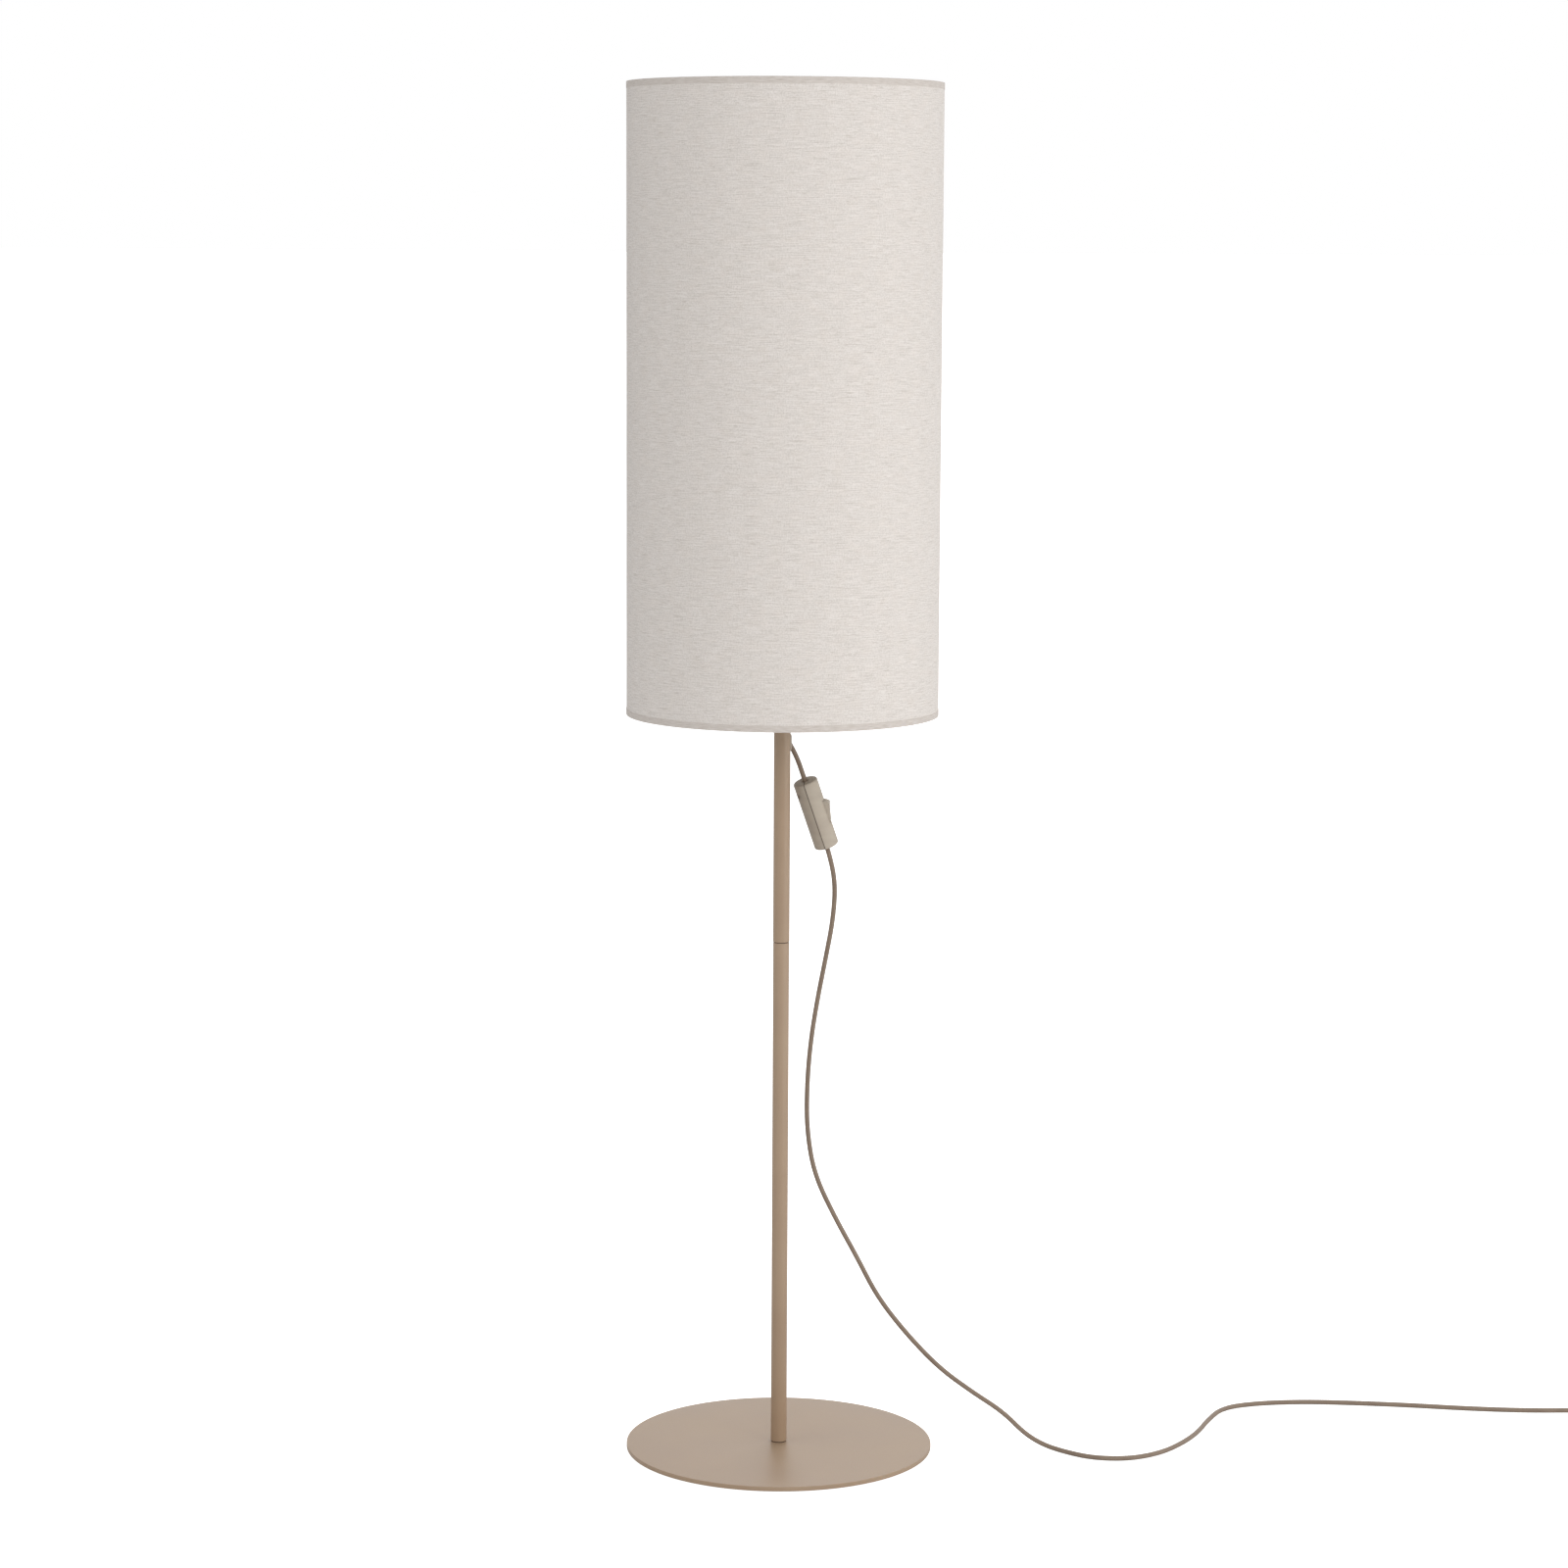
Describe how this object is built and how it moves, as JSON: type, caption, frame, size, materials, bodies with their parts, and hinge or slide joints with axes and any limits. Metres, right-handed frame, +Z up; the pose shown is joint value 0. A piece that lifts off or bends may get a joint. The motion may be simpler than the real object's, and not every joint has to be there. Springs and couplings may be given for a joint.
{
  "type": "floor lamp",
  "caption": "Column floor lamp: tall linen cylinder shade on a slim two-piece pole and a thin round foot, with a trailing mains cord, inline rocker switch and plug.",
  "frame": {"origin": "middle of the foot, on the floor", "axes": "+Z up the pole; the front, seen in the picture, faces -Y; the cord leaves the pole towards +X and +Y"},
  "size_m": [1.0712, 0.4494, 1.328],
  "materials": {
    "painted_taupe": "satin powder coat",
    "felt": "matt felt",
    "steel": "zinc-plated steel",
    "chromed_steel": "bright plated wire",
    "brass": "drawn brass",
    "aluminium": "pressed aluminium",
    "dark_rubber": "matt rubber",
    "taupe_plastic": "fine satin moulding",
    "white_plastic": "moulded thermoset",
    "ceramic": "glazed ceramic",
    "black_plastic": "matt moulding",
    "linen": "slubbed linen weave",
    "liner_film": "translucent styrene sheet",
    "hem_tape": "fine woven tape",
    "opal_glass": "opal frosted",
    "taupe_cord": "smooth flexible sheath",
    "tie_strap": "hook-and-loop strap"
  },
  "bodies": {
    "lamp": {"base_plate": "painted_taupe", "base_pads": "felt", "base_screw": "steel", "foot_washer": "dark_rubber", "foot_bush": "steel", "lower_pole": "painted_taupe", "lower_top_bush": "steel", "joint_washer": "dark_rubber", "joint_stud": "steel", "upper_bottom_bush": "steel", "upper_pole": "painted_taupe", "cord_grommet": "taupe_plastic", "upper_top_bush": "steel", "holder_nipple": "steel", "holder_locknut": "steel", "lampholder_cap": "white_plastic", "lampholder_skirt": "white_plastic", "lampholder_insulator": "ceramic", "lampholder_screw_shell": "aluminium", "lampholder_centre_contact": "brass", "lampholder_terminal_screws": "brass", "shade_clamp_ring": "white_plastic", "shade_frame": "chromed_steel", "shade_top_ring": "chromed_steel", "shade_liner": "liner_film", "shade_fabric": "linen", "shade_top_trim": "hem_tape", "shade_bottom_trim": "hem_tape", "bulb_glass": "opal_glass", "bulb_cap": "aluminium", "bulb_insulator": "black_plastic", "bulb_contact": "brass", "inner_lead": "taupe_cord", "cord_upper": "taupe_cord", "switch_front_half": "taupe_plastic", "switch_rear_half": "taupe_plastic", "switch_carrier": "white_plastic", "switch_terminals": "brass", "switch_screws": "steel", "cord_lower": "taupe_cord", "cord_coil": "taupe_cord", "cord_tail": "taupe_cord", "cord_tie": "tie_strap", "plug_body": "taupe_plastic", "plug_pins": "brass", "plug_pin_sleeves": "black_plastic"},
    "rocker": {"switch_rocker": "taupe_plastic", "switch_contact_bar": "brass"}
  },
  "joints": [
    {"name": "switch_rocker_tilt", "type": "hinge", "parent": "lamp", "child": "rocker", "pos_m": [0.04009, 0.01879, 0.63071], "axis": [-0.1116, -0.9623, -0.2479], "range_deg": [0, 27]}
  ]
}
